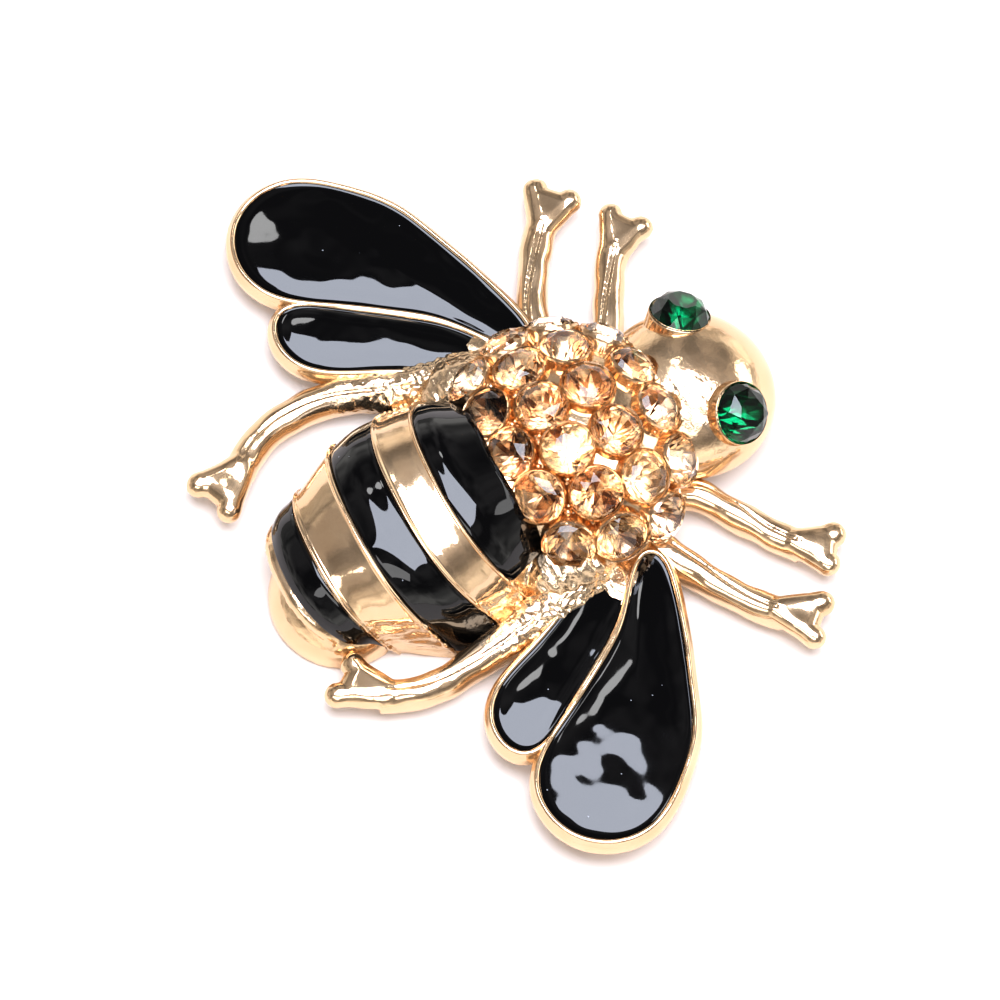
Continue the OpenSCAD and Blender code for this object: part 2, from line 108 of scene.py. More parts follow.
def wrap(bm):
    # Leaves only the convex hull of the mesh
    hull = bmesh.ops.convex_hull(bm, input=bm.verts)
    bmesh.ops.delete(bm, geom=list({*hull["geom_interior"], *hull["geom_unused"]}), context="VERTS")


def hullOf(balls, flatten=1.0):
    # The hull of balls, each a centre and a radius in millimetres
    bm = bmesh.new()
    for centre, radius in balls:
        bmesh.ops.create_icosphere(bm, subdivisions=2, radius=radius * mm,
                                   matrix=Matrix.Translation(Vector(centre) * mm)
                                   @ Matrix.Diagonal((1, 1, flatten, 1)))
    wrap(bm)
    bmesh.ops.recalc_face_normals(bm, faces=bm.faces)
    return bm


def joined(parts):
    whole = bmesh.new()
    for part in parts:
        mesh = bpy.data.meshes.new("part")
        part.to_mesh(mesh)
        part.free()
        whole.from_mesh(mesh)
        bpy.data.meshes.remove(mesh)
    return whole


def placed(bm, matrix):
    bmesh.ops.transform(bm, matrix=matrix, verts=bm.verts)
    return bm


def objectOf(name, bm):
    mesh = bpy.data.meshes.new(name)
    bm.to_mesh(mesh)
    bm.free()
    made = bpy.data.objects.new(name, mesh)
    bpy.context.scene.collection.objects.link(made)
    return made


def changed(bm, kind, **settings):
    # The mesh that one modifier makes of this one
    base = objectOf("base", bm)
    modifier = base.modifiers.new("change", kind)
    for key, value in settings.items():
        setattr(modifier, key, value)
    graph = bpy.context.evaluated_depsgraph_get()
    mesh = bpy.data.meshes.new_from_object(base.evaluated_get(graph))
    bm = bmesh.new()
    bm.from_mesh(mesh)
    bpy.data.meshes.remove(mesh)
    bpy.data.objects.remove(base)
    return bm


def fused(solids, cuts, voxel, smoothing):
    # Solids run together and hollowed, with the soft fillets of one casting
    whole = changed(joined(solids), "REMESH", mode="VOXEL", voxel_size=voxel * mm)
    whole = changed(whole, "SMOOTH", factor=0.5, iterations=smoothing)
    if cuts:
        tool = objectOf("tool", changed(joined(cuts), "REMESH", mode="VOXEL", voxel_size=2 * voxel * mm))
        whole = changed(whole, "BOOLEAN", operation="DIFFERENCE", object=tool, solver="EXACT")
        bpy.data.objects.remove(tool)
    return whole


def finishPiece(name, bm, finishes, nodes, sharpAngle):
    made = objectOf(name, bm)
    for finish in finishes:
        made.data.materials.append(finish)
    if sharpAngle is None:
        made.data.shade_flat()
    else:
        made.data.shade_smooth()
        made.data.set_sharp_from_angle(angle=math.radians(sharpAngle))
    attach(made, "root")
    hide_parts(*nodes)


def goldPiece(name, bm, finishes, sharpAngle):
    finishPiece(name, bm, finishes, ["casting"], sharpAngle)


def markRough(bm, rough):
    # Faces whose corners are all rough take the second finish
    for face in bm.faces:
        face.material_index = 1 if all(v in rough for v in face.verts) else 0


def mix(a, b, t):
    return a + (b - a) * t


def ease(low, high, value):
    # Rises smoothly from 0 at low to 1 at high, whichever of the two is larger
    t = min(max((value - low) / (high - low), 0), 1)
    return t * t * (3 - 2 * t)


def layered(p, share, finer):
    # Noise with a finer noise on it
    return noise.noise(p) + share * noise.noise(finer * p)


def heading(degrees):
    a = math.radians(degrees)
    return Vector((math.cos(a), math.sin(a), 0))


# Finishes

# Zinc alloy casting, polished in a barrel and plated in light champagne gold: a mirror under a
# soft haze from the plating's fine pores, waved slowly by the polishing, with casting pits
goldLook = {"plate": "#F3D8B6", "deep": "#E0BA90", "cloudWidth": 2.4, "roughness": 0.06, "cloudy": 0.15,
            "glossWidth": 0.9, "haze": 0.42, "hazeShare": 0.2, "waveWidth": 1.6, "waveHeight": 0.035,
            "pitWidth": 0.28, "pitHeight": 0.012}
# Edges and legs met the polishing wheel, so they are the clearest mirrors
brightLook = {**goldLook, "cloudy": 0.1, "waveHeight": 0.02, "pitHeight": 0.004}
# Metal hammered before plating: broken highlights over fine pits
hammeredLook = {**goldLook, "plate": "#F2DABC", "deep": "#DAB78E", "roughness": 0.1, "cloudy": 0.2,
                "pitWidth": 0.26, "pitHeight": 0.04}
# Round the stones, where they crowd close, the plate is darker and browner: painted shade in the crevices
# between them
shadedSettingLook = {**goldLook, "plate": "#EBCBA6", "deep": "#D0A57C", "waveHeight": 0.02}


def goldFinish(name, look):
    made, tree, shader, place = newMaterial(name, {"Metallic": 1.0})
    clouds = addNode(tree, "ShaderNodeTexNoise", spaced(look["cloudWidth"], 3), {"Vector": place})
    tone = addNode(tree, "ShaderNodeMix", twoTone(look["plate"], look["deep"]), {0: clouds.outputs["Fac"]})
    tree.links.new(tone.outputs[2], shader.inputs["Base Color"])
    film = addNode(tree, "ShaderNodeTexNoise", spaced(look["glossWidth"], 4), {"Vector": place})
    gloss = addNode(tree, "ShaderNodeMapRange", {
        "From Min": 0.35, "From Max": 0.75, "To Min": look["roughness"], "To Max": look["cloudy"]},
        {"Value": film.outputs["Fac"]})
    tree.links.new(gloss.outputs["Result"], shader.inputs["Roughness"])
    slow = addNode(tree, "ShaderNodeTexNoise", spaced(look["waveWidth"], 1), {"Vector": place})
    wave = addNode(tree, "ShaderNodeBump", {"Strength": 1.0, "Distance": look["waveHeight"] * mm},
                   {"Height": slow.outputs["Fac"]})
    fine = addNode(tree, "ShaderNodeTexNoise", spaced(look["pitWidth"], 3), {"Vector": place})
    pits = addNode(tree, "ShaderNodeBump", {"Strength": 1.0, "Distance": look["pitHeight"] * mm},
                   {"Height": fine.outputs["Fac"], "Normal": wave.outputs["Normal"]})
    tree.links.new(pits.outputs["Normal"], shader.inputs["Normal"])
    haze = addNode(tree, "ShaderNodeBsdfPrincipled", {"Metallic": 1.0, "Roughness": look["haze"]},
                   {"Base Color": tone.outputs[2], "Normal": pits.outputs["Normal"]})
    both = addNode(tree, "ShaderNodeMixShader", {0: look["hazeShare"]},
                   {1: shader.outputs["BSDF"], 2: haze.outputs["BSDF"]})
    tree.links.new(both.outputs["Shader"], tree.nodes["Material Output"].inputs["Surface"])
    return made


# Cold enamel, a filled epoxy poured level and cured: deep black, liquid gloss, a few specks of
# dust caught in it
enamelLook = {"black": "#040405", "dust": "#8D9096", "roughness": 0.035, "ior": 1.55, "waveWidth": 5.0,
              "waveHeight": 0.03, "dustSpacing": 1.1, "dustShare": 0.035}


def enamelFinish(name, look):
    made, tree, shader, place = newMaterial(name, {"Roughness": look["roughness"], "IOR": look["ior"]})
    cells = addNode(tree, "ShaderNodeTexVoronoi", {"Scale": 1 / (look["dustSpacing"] * mm)},
                    {"Vector": place})
    speck = addNode(tree, "ShaderNodeMath", {"operation": "LESS_THAN", 1: look["dustShare"]},
                    {0: cells.outputs["Distance"]})
    tone = addNode(tree, "ShaderNodeMix", twoTone(look["black"], look["dust"]), {0: speck.outputs["Value"]})
    tree.links.new(tone.outputs[2], shader.inputs["Base Color"])
    slow = addNode(tree, "ShaderNodeTexNoise", spaced(look["waveWidth"], 1), {"Vector": place})
    wave = addNode(tree, "ShaderNodeBump", {"Strength": 1.0, "Distance": look["waveHeight"] * mm},
                   {"Height": slow.outputs["Fac"]})
    tree.links.new(wave.outputs["Normal"], shader.inputs["Normal"])
    return made


# Machine-cut lead-free glass with a vacuum-coated foil behind: the clear crown shows its own hard
# reflections, and the facets of the foil flash through it. The foil is one colour; its deep tones are a
# darker copy of it, painted shade on some facets
stoneLooks = {
    "champagne": {"glass": "#FEF3E8", "foil": "#FCEAD2", "patch": "#F0D1A8", "deep": "#B98C66",
                  "paintedShadePatch": "#7E5838"},
    "emerald": {"glass": "#66C8A8", "foil": "#149069", "patch": "#08624A", "deep": "#053A2B",
                "paintedShadePatch": "#021710"},
}
cutGlass = {"ior": 1.56, "veilWidth": 1.4, "veilShare": 0.3, "foilRoughness": 0.2, "patchWidth": 0.8}


def glassFinish(name, look):
    made, tree, shader, place = newMaterial(name, {
        "Roughness": 0.0, "Transmission Weight": 1.0, "IOR": cutGlass["ior"]})
    veil = addNode(tree, "ShaderNodeTexNoise", spaced(cutGlass["veilWidth"], 2), {"Vector": place})
    thin = addNode(tree, "ShaderNodeMath", {"operation": "MULTIPLY", 1: cutGlass["veilShare"]},
                   {0: veil.outputs["Fac"]})
    tone = addNode(tree, "ShaderNodeMix", twoTone(look["glass"], look["foil"]), {0: thin.outputs["Value"]})
    tree.links.new(tone.outputs[2], shader.inputs["Base Color"])
    return made


def foilFinish(name, first, second):
    made, tree, shader, place = newMaterial(name, {"Metallic": 1.0, "Roughness": cutGlass["foilRoughness"]})
    patches = addNode(tree, "ShaderNodeTexNoise", spaced(cutGlass["patchWidth"], 2), {"Vector": place})
    tone = addNode(tree, "ShaderNodeMix", twoTone(first, second), {0: patches.outputs["Fac"]})
    tree.links.new(tone.outputs[2], shader.inputs["Base Color"])
    return made


def stoneFinishes(word):
    look = stoneLooks[word]
    return [glassFinish("cut_" + word + "_glass", look),
            foilFinish(word + "_foil_bright", look["foil"], look["patch"]),
            # the same foil darker: painted shade for some of the back facets
            foilFinish(word + "_foil_painted_shade", look["deep"], look["paintedShadePatch"])]


plateGold = goldFinish("barrel_polished_gold_plate", goldLook)
brightGold = goldFinish("hand_polished_gold_plate", brightLook)
hammeredGold = goldFinish("hammered_gold_plate", hammeredLook)
blackEnamel = enamelFinish("poured_black_enamel", enamelLook)
# darker plate, painted shade for the gaps round the stones
shadedSettingGold = goldFinish("setting_gold_plate_painted_shade", shadedSettingLook)
champagne, emerald = stoneFinishes("champagne"), stoneFinishes("emerald")
print("finishes made")


# Thorax dome and head, as the casting has them, in millimetres

thorax = {"y": 3.3, "length": 11.9, "width": 13.2, "top": 6.95, "base": 2.6, "wall": 2.0}
head = {"width": 9.7, "length": 9.4, "top": 5.7, "middle": 2.2, "under": 2.0, "lap": 3.6}
thoraxHalf = Vector((thorax["width"] / 2, thorax["length"] / 2, thorax["top"] - thorax["base"]))
thoraxCentre = Vector((0, thorax["y"], thorax["base"]))
headHalf = Vector((head["width"] / 2, head["length"] / 2, head["top"] - head["middle"]))
headCentre = Vector((0, thorax["y"] + thoraxHalf.y + headHalf.y - head["lap"], head["middle"]))


def oval(centre, half, shrink, z, sides):
    turns = [2 * math.pi * k / sides for k in range(sides)]
    return [(centre.x + half.x * shrink * math.cos(a), centre.y + half.y * shrink * math.sin(a), z)
            for a in turns]


def roundRings(centre, half, under, levels, sides):
    # Half of an ellipsoid over another, or over nothing where under is None
    rings = []
    for level in range(0 if under is None else -levels, levels + 1):
        up = math.pi / 2 * level / levels
        shrink = math.cos(up) if abs(level) < levels else 0
        high = half.z if level > 0 or under is None else under
        rings.append(oval(centre, half, shrink, centre.z + high * math.sin(up), sides))
    return rings


def domeSolid(centre, half, fromZ, levels=20, sides=72):
    # A dome on a straight wall
    return lofted([oval(centre, half, 1, fromZ, sides)] + roundRings(centre, half, None, levels, sides))


def eggSolid(centre, half, under, levels=16, sides=72):
    return lofted(roundRings(centre, half, under, levels, sides))


# Abdomen: sections from the waist to the rear ridge, each with its place as a share of the
# length behind the thorax centre, width share, height share, lean share and flare share

abdomen = {"length": 13.6, "width": 13.2, "top": 7.0, "lean": 0.53, "slant": 4.0, "flare": 0.7,
           "flareAngle": 24.0, "power": 2.4, "wall": 0.9, "enamel": 0.5}
sections = [
    (0.06, 0.68, 0.86, 0.9, 0), (0.22, 0.84, 0.99, 0.95, 0), (0.32, 0.94, 1, 1, 0.4),
    (0.482, 1, 0.95, 1.1, 1), (0.70, 0.95, 0.89, 1, 1), (0.93, 0.74, 0.7, 1.04, 0.2),
    (0.993, 0.68, 0.515, 1.78, 0), (1.03, 0.65, 0.43, 2.07, 0)]
waist, enamelOne, goldOne, enamelTwo, goldTwo, enamelThree, rearRidge = 0, 0.4, 2, 3, 4, 5, 7


def smoothRow(rows, i):
    # The row at a place between rows, on a smooth curve through them
    last = len(rows) - 1
    k = min(max(int(i), 0), last - 1)
    t = i - k
    a, b, c, d = (Vector(rows[min(max(j, 0), last)]) for j in (k - 1, k, k + 1, k + 2))
    return b + t / 2 * (c - a + t * (2 * a - 5 * b + 4 * c - d + t * (3 * (b - c) + d - a)))


def abdomenPoint(i, angle, relief):
    place, wide, high, lean, flare = smoothRow(sections, i)
    a = math.radians(angle)
    up = min(angle, 180 - angle) / abdomen["flareAngle"]
    spread = flare * abdomen["flare"] * (1 - up) ** 2 if up < 1 else 0
    power = 2 / abdomen["power"]
    half = wide * abdomen["width"] / 2 + relief
    x = math.copysign(spread + half * abs(math.cos(a)) ** power, math.cos(a))
    z = (high * abdomen["top"] + relief) * abs(math.sin(a)) ** power
    back = place * abdomen["length"] + lean * abdomen["lean"] * z
    return Vector((x, thorax["y"] - back - x * math.tan(math.radians(abdomen["slant"])), z))


def abdomenSolid(fromI, toI, relief, foot=0.0, steps=28, sides=48):
    rings = []
    for row in range(steps + 1):
        i = mix(fromI, toI, row / steps)
        ring = [abdomenPoint(i, 180 * k / sides, relief(i)) for k in range(sides + 1)]
        if foot:
            drop = Vector((0, 0, foot))
            ring = [ring[0] - drop, *ring, ring[-1] - drop]
        rings.append(ring)
    return lofted(rings)


# Wings, each outlined by circles: outwards, forwards of the thorax centre and radius, as shares
# of the wing's reach

wings = {"reach": 20.9, "top": 2.3, "thick": 1.05, "rim": 0.34, "rimDrop": 0.14, "rimRise": 0.2,
         "flank": 0.54, "divider": 0.45, "leftTurn": 4.5, "leftExtra": 0.4, "pivot": (3.2, -6.7),
         "points": 180, "rounding": 1.5, "uneven": 0.03, "unevenWidth": 3.0, "unevenTop": 0.025,
         "unevenTopWidth": 1.2}
wingEnamel = {"deep": 0.45, "gap": 0.02, "bed": 0.03, "below": 0.09, "levels": 26, "crown": 0.24,
              "creep": 0.05, "ripple": 0.055, "rippleWidth": 3.0}
foreWing = {"circles": [(0.358, 0.036, 0.032), (0.546, -0.061, 0.073), (0.749, -0.232, 0.15),
                        (0.835, -0.355, 0.165)], "centre": (0.7, -0.19), "sink": 0}
hindWing = {"circles": [(0.384, -0.077, 0.064), (0.503, -0.25, 0.091), (0.601, -0.404, 0.125)],
            "centre": (0.55, -0.32), "sink": 0.03}
# The frame's outside: a share of the flank, then millimetres over the underside or under the top
flankProfile = [(0.5, 0), (0.85, 0.08), (1, 0.3), (0.95, -0.45), (0.82, -0.24)]
# The plate that joins both wings to the thorax, as balls pressed flat
wingPlate = {"balls": [((6.0, 0.3), 1.6), ((7.6, 0.7), 1.3), ((7.9, -1.5), 1.8), ((6.2, -1.2), 1.5)],
             "flatten": 0.42, "z": 1.62}


def capsuleDistance(p, a, b, ra, rb):
    # Distance from a point to the hull of two circles
    run = b - a
    length = run.length
    along = (p - a).dot(run) / length
    aside = abs(run.cross(p - a)) / length
    taper = (ra - rb) / length
    straight = math.sqrt(1 - taper * taper)
    k = along * straight - aside * taper
    if k < 0:
        return math.hypot(aside, along) - ra
    if k > straight * length:
        return math.hypot(aside, along - length) - rb
    return aside * straight + along * taper - ra


def chainDistance(p, circles, reach):
    return min(capsuleDistance(p, Vector(c[:2]) * reach, Vector(d[:2]) * reach, c[2] * reach, d[2] * reach)
               for c, d in zip(circles, circles[1:]))


def foreDistance(side):
    reach = wings["reach"] + (wings["leftExtra"] if side < 0 else 0)
    return lambda p: chainDistance(p, foreWing["circles"], reach)


def hindDistance(side):
    fore = foreDistance(side)
    return lambda p: max(chainDistance(p, hindWing["circles"], wings["reach"]), wings["divider"] - fore(p))


def evenly(points, count):
    # This many points, at even steps along a line of points
    lengths = [0.0]
    for a, b in zip(points, points[1:]):
        lengths.append(lengths[-1] + (b - a).length)
    even, k = [], 0
    for n in range(count):
        goal = lengths[-1] * n / count
        while lengths[k + 1] < goal:
            k += 1
        even.append(points[k].lerp(points[k + 1], (goal - lengths[k]) / (lengths[k + 1] - lengths[k])))
    return even, lengths[-1] / count


def outlineOf(distance, centre, count, rounding):
    # Points lying evenly along a wing's edge, with its corners rounded, and their ways out
    def edgeAt(angle):
        way = Vector((math.cos(angle), math.sin(angle)))
        reach = 0.0
        for _ in range(60):
            reach -= distance(centre + way * reach)
        return centre + way * reach

    fine = 4 * count
    edge, step = evenly([edgeAt(2 * math.pi * k / fine) for k in range(fine + 1)], count)
    spread = range(-int(3 * rounding / step), int(3 * rounding / step) + 1)
    weights = [math.exp(-(k * step / rounding) ** 2 / 2) for k in spread]

    def softened(line):
        return [sum((w * line[(i + k) % count] for w, k in zip(weights, spread)), Vector((0, 0)))
                / sum(weights) for i in range(count)]

    once = softened(edge)
    edge = [2 * a - b for a, b in zip(once, softened(once))]
    ways = []
    for i in range(count):
        along = (edge[(i + 1) % count] - edge[i - 1]).normalized()
        ways.append(Vector((along.y, -along.x)))
    return edge, ways


def onSide(side, p, z):
    # From the right wing's plane to a place on the object
    point = Vector((p[0], p[1]))
    if side < 0:
        pivot = Vector(wings["pivot"])
        point = pivot + Matrix.Rotation(math.radians(wings["leftTurn"]), 2) @ (point - pivot)
    return Vector((side * point.x, point.y + thorax["y"], z))


def wingPieces(side, hand, word, distance, wing):
    centre = Vector(wing["centre"]) * wings["reach"]
    edge, ways = outlineOf(distance, centre, wings["points"], wings["rounding"])
    rim, top = wings["rim"], wings["top"] - wing["sink"]
    under, floorZ = top - wings["thick"], top - wingEnamel["deep"]

    def ringAt(offset, z, shrink=1.0):
        return [onSide(side, centre + (p + w * offset - centre) * shrink, z) for p, w in zip(edge, ways)]

    frameRings = [ringAt(0, under, 0), ringAt(0, under, 0.5)]
    for share, lift in flankProfile:
        frameRings.append(ringAt(share * wings["flank"], (top if lift < 0 else under) + lift))
    for step in range(9):                      # the rounded top of the rim
        turn = math.pi * step / 8
        frameRings.append(ringAt(rim / 2 + rim / 2 * math.cos(turn),
                                 top - wings["rimDrop"] + wings["rimRise"] * math.sin(turn)))
    frameRings += [ringAt(0, floorZ), ringAt(0, floorZ, 0.5), ringAt(0, floorZ, 0)]
    gold = lofted(frameRings, capped=False)
    for v in gold.verts:                       # filed by hand, so the rim is never quite even
        p = v.co / mm
        v.co += mm * wings["uneven"] * noise.noise_vector(p / wings["unevenWidth"])
        v.co.z += mm * wings["unevenTop"] * noise.noise(p / wings["unevenTopWidth"])
    goldPiece(f"{word}wing_frame_{hand}", gold, [brightGold], 60)

    gap, bed, levels = -wingEnamel["gap"], floorZ + wingEnamel["bed"], wingEnamel["levels"]
    fillRings = [ringAt(gap, bed, 0), ringAt(gap, bed)]
    for share in [1 - (level / levels) ** 1.25 for level in range(levels + 1)]:
        # Swells to the middle and creeps up the rim
        swell = wingEnamel["crown"] * (1 - share ** 2.6)
        swell += wingEnamel["creep"] * max(0, (share - 0.93) / 0.07) ** 2
        ring = ringAt(gap, top - wingEnamel["below"] + swell, share)
        ripple = wingEnamel["ripple"] * ease(1, 0.85, share)
        for p in ring:
            p.z += ripple * layered(p / wingEnamel["rippleWidth"], 0.3, 2.7)
        fillRings.append(ring)
    node = f"{word}wing_enamel_{hand}"
    finishPiece(node + "_poured", lofted(fillRings, capped=False), [blackEnamel], [node], 60)


def wingRoot(side):
    balls = [(onSide(side, at, wingPlate["z"]), radius) for at, radius in wingPlate["balls"]]
    return [hullOf(pair, wingPlate["flatten"]) for pair in zip(balls, balls[1:] + balls[:1])]


for side, hand in ((1, "right"), (-1, "left")):
    wingPieces(side, hand, "fore", foreDistance(side), foreWing)
    wingPieces(side, hand, "hind", hindDistance(side), hindWing)
print("wings made")


# Cut stones: their rows, their facets and their cups. Facet sizes are shares of the stone's size

stoneShape = {"size": 2.72, "table": 0.5, "crown": 0.2, "girdle": 0.05, "pavilion": 0.43, "lift": 0.22,
              "wall": 0.12, "lip": 0.13, "skirt": 0.06, "gap": 0.02, "uneven": 0.05}
eyeShape = {"size": 3.2, "crown": 0.27, "lift": 0.06, "apart": 6.5, "forward": 1.3, "wall": 0.06,
            "lip": -0.03, "skirt": 0.1}
pocket = {"radius": 0.45, "depth": 0.48, "above": 0.8}
# Each eye was glued by hand: its tilt outwards, its turn towards the front, and its spin
eyes = {"right": {"side": 1, "tilt": 43, "turn": 30, "spin": 0.3, "seed": 41},
        "left": {"side": -1, "tilt": 30, "turn": 48, "spin": -0.3, "seed": 39}}
# Rows from the abdomen to the head: latitude, middle longitude, step, count, bend at the sides
stoneRows = [(-38.3, 4.4, 28.6, 5, 10.2), (-12, 4.4, 23.6, 6, 8.3), (13.7, 5.8, 25.3, 6, 7.4),
             (46.9, 1.4, 33.5, 4, -5.4)]


def stonePlaces():
    # Latitudes and longitudes: the steps widen a little towards the sides, where the rows bend
    places = []
    for latitude, middle, step, count, bend in stoneRows:
        for i in range(count):
            away = (i - (count - 1) / 2) * step
            lon = middle + away * (1 + 0.118 * (away / 60) ** 2)
            lat = latitude + bend * math.sin(math.radians(lon)) ** 2
            places.append((math.radians(lat), math.radians(lon)))
    return places


def stoneSeat(lat, lon):
    # Where a stone's girdle lies on the dome, and the way it faces
    out = Vector((math.sin(lon) * math.cos(lat), math.sin(lat), math.cos(lon) * math.cos(lat)))
    way = Vector(w / h for w, h in zip(out, thoraxHalf)).normalized()
    return thoraxCentre + Vector(w * h for w, h in zip(out, thoraxHalf)) + stoneShape["lift"] * way, way


def eyeSeat(eye):
    # Where an eye's girdle lies on the head, and the way it faces
    tilt, turn, side = math.radians(eye["tilt"]), math.radians(eye["turn"]), eye["side"]
    way = Vector((side * math.sin(tilt) * math.cos(turn), math.sin(tilt) * math.sin(turn), math.cos(tilt)))
    out, forward = eyeShape["apart"] / 2, eyeShape["forward"]
    rise = headHalf.z * math.sqrt(1 - (out / headHalf.x) ** 2 - (forward / headHalf.y) ** 2)
    return headCentre + Vector((side * out, forward, rise)) + eyeShape["lift"] * way, way


def facing(point, way, spin):
    return (Matrix.Translation(point * mm) @ way.to_track_quat("Z", "Y").to_matrix().to_4x4()
            @ Matrix.Rotation(spin, 4, "Z"))


def cutStone(size, crown, seed):
    # Circles of corners from the table to the culet (how many, radius, height, turn), and the hull
    # that cuts flat facets on them. The corners of the back wander, as facets polished by the gross do
    bm = bmesh.new()
    girdle, uneven, chance = stoneShape["girdle"], stoneShape["uneven"], random.Random(seed)
    rings = [(8, stoneShape["table"] / 2, girdle + crown, 0), (8, 0.41, girdle + 0.62 * crown, 22.5),
             (16, 0.5, girdle, 11.25), (16, 0.5, 0, 11.25), (8, 0.34, -0.165, 0),
             (8, 0.15, -0.325, 22.5), (3, 0.01, -stoneShape["pavilion"], 0)]
    for count, radius, z, turn in rings:
        made = bmesh.ops.create_circle(bm, segments=count, radius=radius * size * mm,
                                       matrix=Matrix.Translation((0, 0, z * size * mm))
                                       @ Matrix.Rotation(math.radians(turn), 4, "Z"))
        for v in made["verts"] if z < 0 else []:
            v.co += size * mm * uneven * Vector([chance.uniform(-0.5, 0.5) for _ in range(3)])
    wrap(bm)
    bmesh.ops.dissolve_limit(bm, angle_limit=math.radians(0.5), verts=bm.verts, edges=bm.edges)
    bmesh.ops.recalc_face_normals(bm, faces=bm.faces)
    for face in bm.faces:                      # glass in front, foil behind, a third of its facets in painted shade
        face.material_index = chance.choice((1, 1, 2)) if face.calc_center_median().z < 0 else 0
    return bm


def stoneCup(shape, sides):
    # The skirt is how far the foot of the cup spreads into the metal it is soldered to
    inner, outer = shape["size"] / 2 + 0.01, shape["size"] / 2 + stoneShape["gap"] + shape["wall"]
    top, skirt = stoneShape["girdle"] * shape["size"] + shape["lip"], shape["skirt"]
    outside = [(outer + skirt, -0.9), (outer + 0.4 * skirt, -0.4), (outer + 0.1 * skirt, -0.05),
               (outer, top - 0.1), (outer - 0.05, top), (mix(inner, outer, 0.45), top + 0.05)]
    inside = [(inner + 0.02, top), (inner - 0.03, top - 0.07), (inner, -0.02), (inner - 0.3, -0.35),
              (inner - 0.3, -0.9)]
    return lathed(outside + inside, sides)


def pocketSolid(size, seat):
    # The hole drilled for the back of a stone
    radius, deep, above = size * pocket["radius"], -size * pocket["depth"], pocket["above"]
    hole = lathed([(0.001, deep), (radius, deep), (radius, above), (0.001, above)], 32)
    return placed(hole, facing(*seat, 0))


# The pin behind, one plain drawn wire on two posts with round plates

pinShape = {"x": -2.4, "middle": -0.6, "span": 13.0, "z": 0.8, "wire": 0.4, "over": 0.9, "post": 0.65,
            "plate": 1.1, "plateThick": 0.5, "bevel": 0.1}


def postPlace(end):
    return Vector((pinShape["x"], pinShape["middle"] + end * pinShape["span"] / 2, 0))


def pinSolid():
    half = pinShape["span"] / 2 + pinShape["over"]
    w = pinShape["wire"]
    stem = lathed([(0.001, -half), (w * 0.7, -half), (w, -half + 0.15), (w, half - 0.15), (w * 0.7, half),
                   (0.001, half)], 32)
    middle = Vector((pinShape["x"], pinShape["middle"], pinShape["z"]))
    parts = [placed(stem, Matrix.Translation(middle * mm) @ Matrix.Rotation(math.pi / 2, 4, "X"))]
    r, plate, bevel = pinShape["post"], pinShape["plate"], pinShape["bevel"]
    low, high = pinShape["z"] - r, pinShape["z"] + r
    tip = high + pinShape["plateThick"]
    for end in (1, -1):
        post = lathed([(0.001, low), (r - bevel, low), (r, low + bevel), (r, high), (plate - 0.06, high),
                       (plate, high + 0.06), (plate, tip), (0.001, tip)], 36)
        parts.append(placed(post, Matrix.Translation(postPlace(end) * mm)))
    return joined(parts)


# The body: dome, head, abdomen core, tail and shoulders as one hollow casting, and the pin's bosses

body = {"voxel": 0.14, "smoothing": 3, "underBand": -0.3, "hollowFrom": 1.0, "hollowTo": 4.9, "open": 1.0}
tail = {"width": 7.8, "shift": 1.1, "length": 3.6, "top": 3.0, "base": 0.4}
shoulders = {"at": (5.9, -3.1, 1.9), "reach": (1.9, 2.6, 1.9), "under": 1.8}
bosses = {"radius": 1.3, "from": 2.0, "top": 5.0, "dome": 0.2}
hammered = {"width": 0.5, "zones": [{"at": (6.0, 0.4, 2.6), "radius": 3.2, "depth": 0.15},
                                    {"at": (-6.0, 0.4, 2.6), "radius": 3.2, "depth": 0.15},
                                    {"at": (1.7, 9.5, 5.3), "radius": 1.7, "depth": 0.1}]}


def coreRelief(i):
    # The core lies lower under the bands
    return body["underBand"] * ease(0.3, 0.5, i) * ease(6.1, 5.9, i)


def bodySolids():
    tailCentre = Vector((tail["shift"], abdomenPoint(rearRidge, 0, 0).y, tail["base"]))
    tailHalf = Vector((tail["width"] / 2, tail["length"], tail["top"] - tail["base"]))
    solids = [domeSolid(thoraxCentre, thoraxHalf, 0),
              abdomenSolid(waist, rearRidge, coreRelief),
              domeSolid(tailCentre, tailHalf, 0),
              eggSolid(headCentre, headHalf, head["under"])]
    x, y, z = shoulders["at"]
    for side in (1, -1):
        centre = Vector((side * x, thorax["y"] + y, z))
        solids.append(eggSolid(centre, Vector(shoulders["reach"]), shoulders["under"], 8, 32))
        solids += wingRoot(side)
    return solids


def bodyCuts():
    wall = thorax["wall"]
    depth = -(abdomen["enamel"] + abdomen["wall"])
    cuts = [domeSolid(thoraxCentre, thoraxHalf - Vector((wall, wall, wall)), -1),
            abdomenSolid(body["hollowFrom"], body["hollowTo"], lambda i: depth, body["open"])]
    cuts += [pocketSolid(stoneShape["size"], stoneSeat(lat, lon)) for lat, lon in stonePlaces()]
    return cuts + [pocketSolid(eyeShape["size"], eyeSeat(eye)) for eye in eyes.values()]


def hammer(bm, zones, width):
    # Wrinkles the surface inside round zones, longer than wide, and marks it as hammered
    rough = set()
    for v in bm.verts:
        p = v.co / mm
        depth = max(zone["depth"] * ease(1.0, 0.6, (p - Vector(zone["at"])).length / zone["radius"])
                    for zone in zones)
        if depth > 0:
            fine = Vector((p.x * 0.35, p.y * 1.2, p.z)) / width
            v.co += v.normal * mm * depth * layered(fine, 0.5, 2.1)
            rough.add(v)
    markRough(bm, rough)


